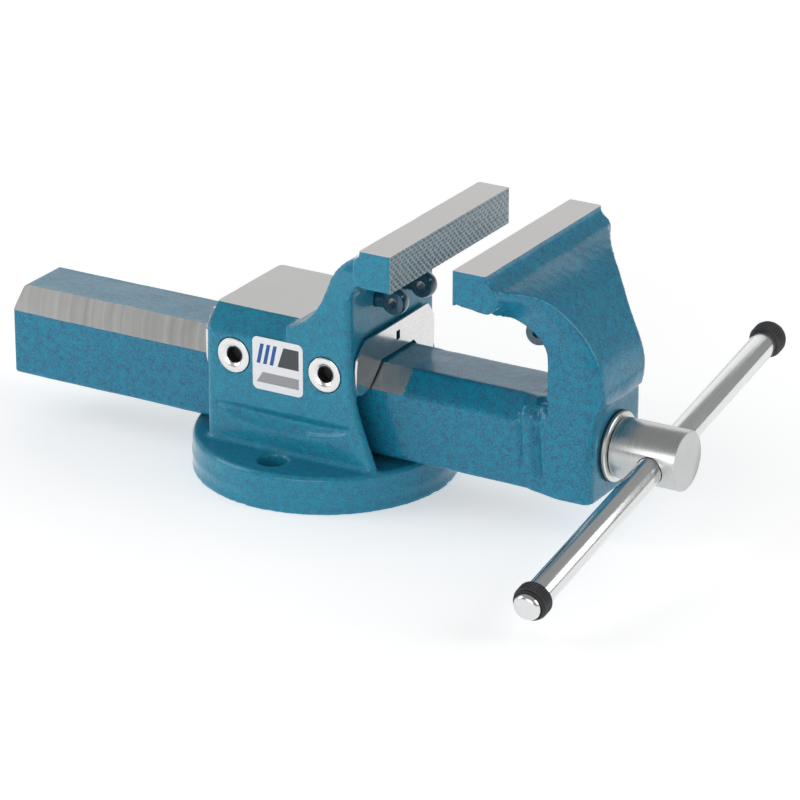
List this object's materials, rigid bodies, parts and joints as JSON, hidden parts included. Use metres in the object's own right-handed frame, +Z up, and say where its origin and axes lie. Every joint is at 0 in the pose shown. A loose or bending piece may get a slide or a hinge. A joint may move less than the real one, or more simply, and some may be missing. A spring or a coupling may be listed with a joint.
{
  "type": "bench vise",
  "caption": "Forged bench vise on a round bolt-down base, with an anvil, knurled jaws, a bevelled slide bar, an enclosed screw and a sliding handle.",
  "frame": {"origin": "centre of the round base's underside", "axes": "+X along the slide bar towards the handle, +Z up, -Y the side with the guide screws and the label"},
  "size_m": [0.3852, 0.2673, 0.1455],
  "materials": {
    "hammertone_paint": "glossy hammertone enamel over forged steel",
    "stud_paint": "glossy enamel, darker where it is thick",
    "bronze": "machined bronze",
    "dark_steel": "blackened steel",
    "nickel_screw": "bright nickel plate",
    "stainless_sheet": "bright rolled sheet",
    "label_foil": "printed foil with a plain geometric pattern",
    "black_rubber": "matte",
    "white_washer": "fine turned face, pale passivated",
    "turned_steel": "turned, zinc plated",
    "handle_steel": "drawn bar, bright zinc plated",
    "black_plastic": "fine matte, knurled"
  },
  "bodies": {
    "fixed_side": {"fixed_body": "hammertone_paint", "fixed_pipe_stud_near": "stud_paint", "fixed_pipe_stud_far": "stud_paint", "spindle_nut": "bronze", "nut_screws": "dark_steel", "guide_screw_rear": "nickel_screw", "guide_screw_front": "nickel_screw", "guide_pad_rear": "bronze", "guide_pad_front": "bronze", "cover_plate": "stainless_sheet", "rear_cover_plate": "stainless_sheet", "label_plate": "label_foil"},
    "moving_side": {"moving_jaw": "hammertone_paint", "moving_pipe_stud_near": "stud_paint", "moving_pipe_stud_far": "stud_paint", "spindle_bush": "bronze", "seal_ring": "black_rubber", "thrust_washer": "white_washer", "disc_spring": "dark_steel"},
    "spindle_unit": {"spindle": "turned_steel", "retaining_collar": "dark_steel", "retainer_pin": "dark_steel"},
    "handle_unit": {"handle_bar": "handle_steel", "handle_collar_near": "black_plastic", "handle_collar_far": "black_plastic", "handle_ring_near": "black_rubber", "handle_ring_far": "black_rubber"}
  },
  "joints": [
    {"name": "jaw_slide", "type": "slide", "parent": "fixed_side", "child": "moving_side", "axis": [1, 0, 0], "range_m": [-0.035, 0.115]},
    {"name": "spindle_turn", "type": "hinge", "parent": "moving_side", "child": "spindle_unit", "pos_m": [0.1, 0, 0.045], "axis": [1, 0, 0], "range_deg": [-2520, 8280]},
    {"name": "handle_slide", "type": "slide", "parent": "spindle_unit", "child": "handle_unit", "axis": [0, 0.9823, 0.1874], "range_m": [-0.0994, 0.116]}
  ],
  "couplings": [
    {"joint": "jaw_slide", "follows": "spindle_turn", "m_per_rad": 0.00079577}
  ]
}
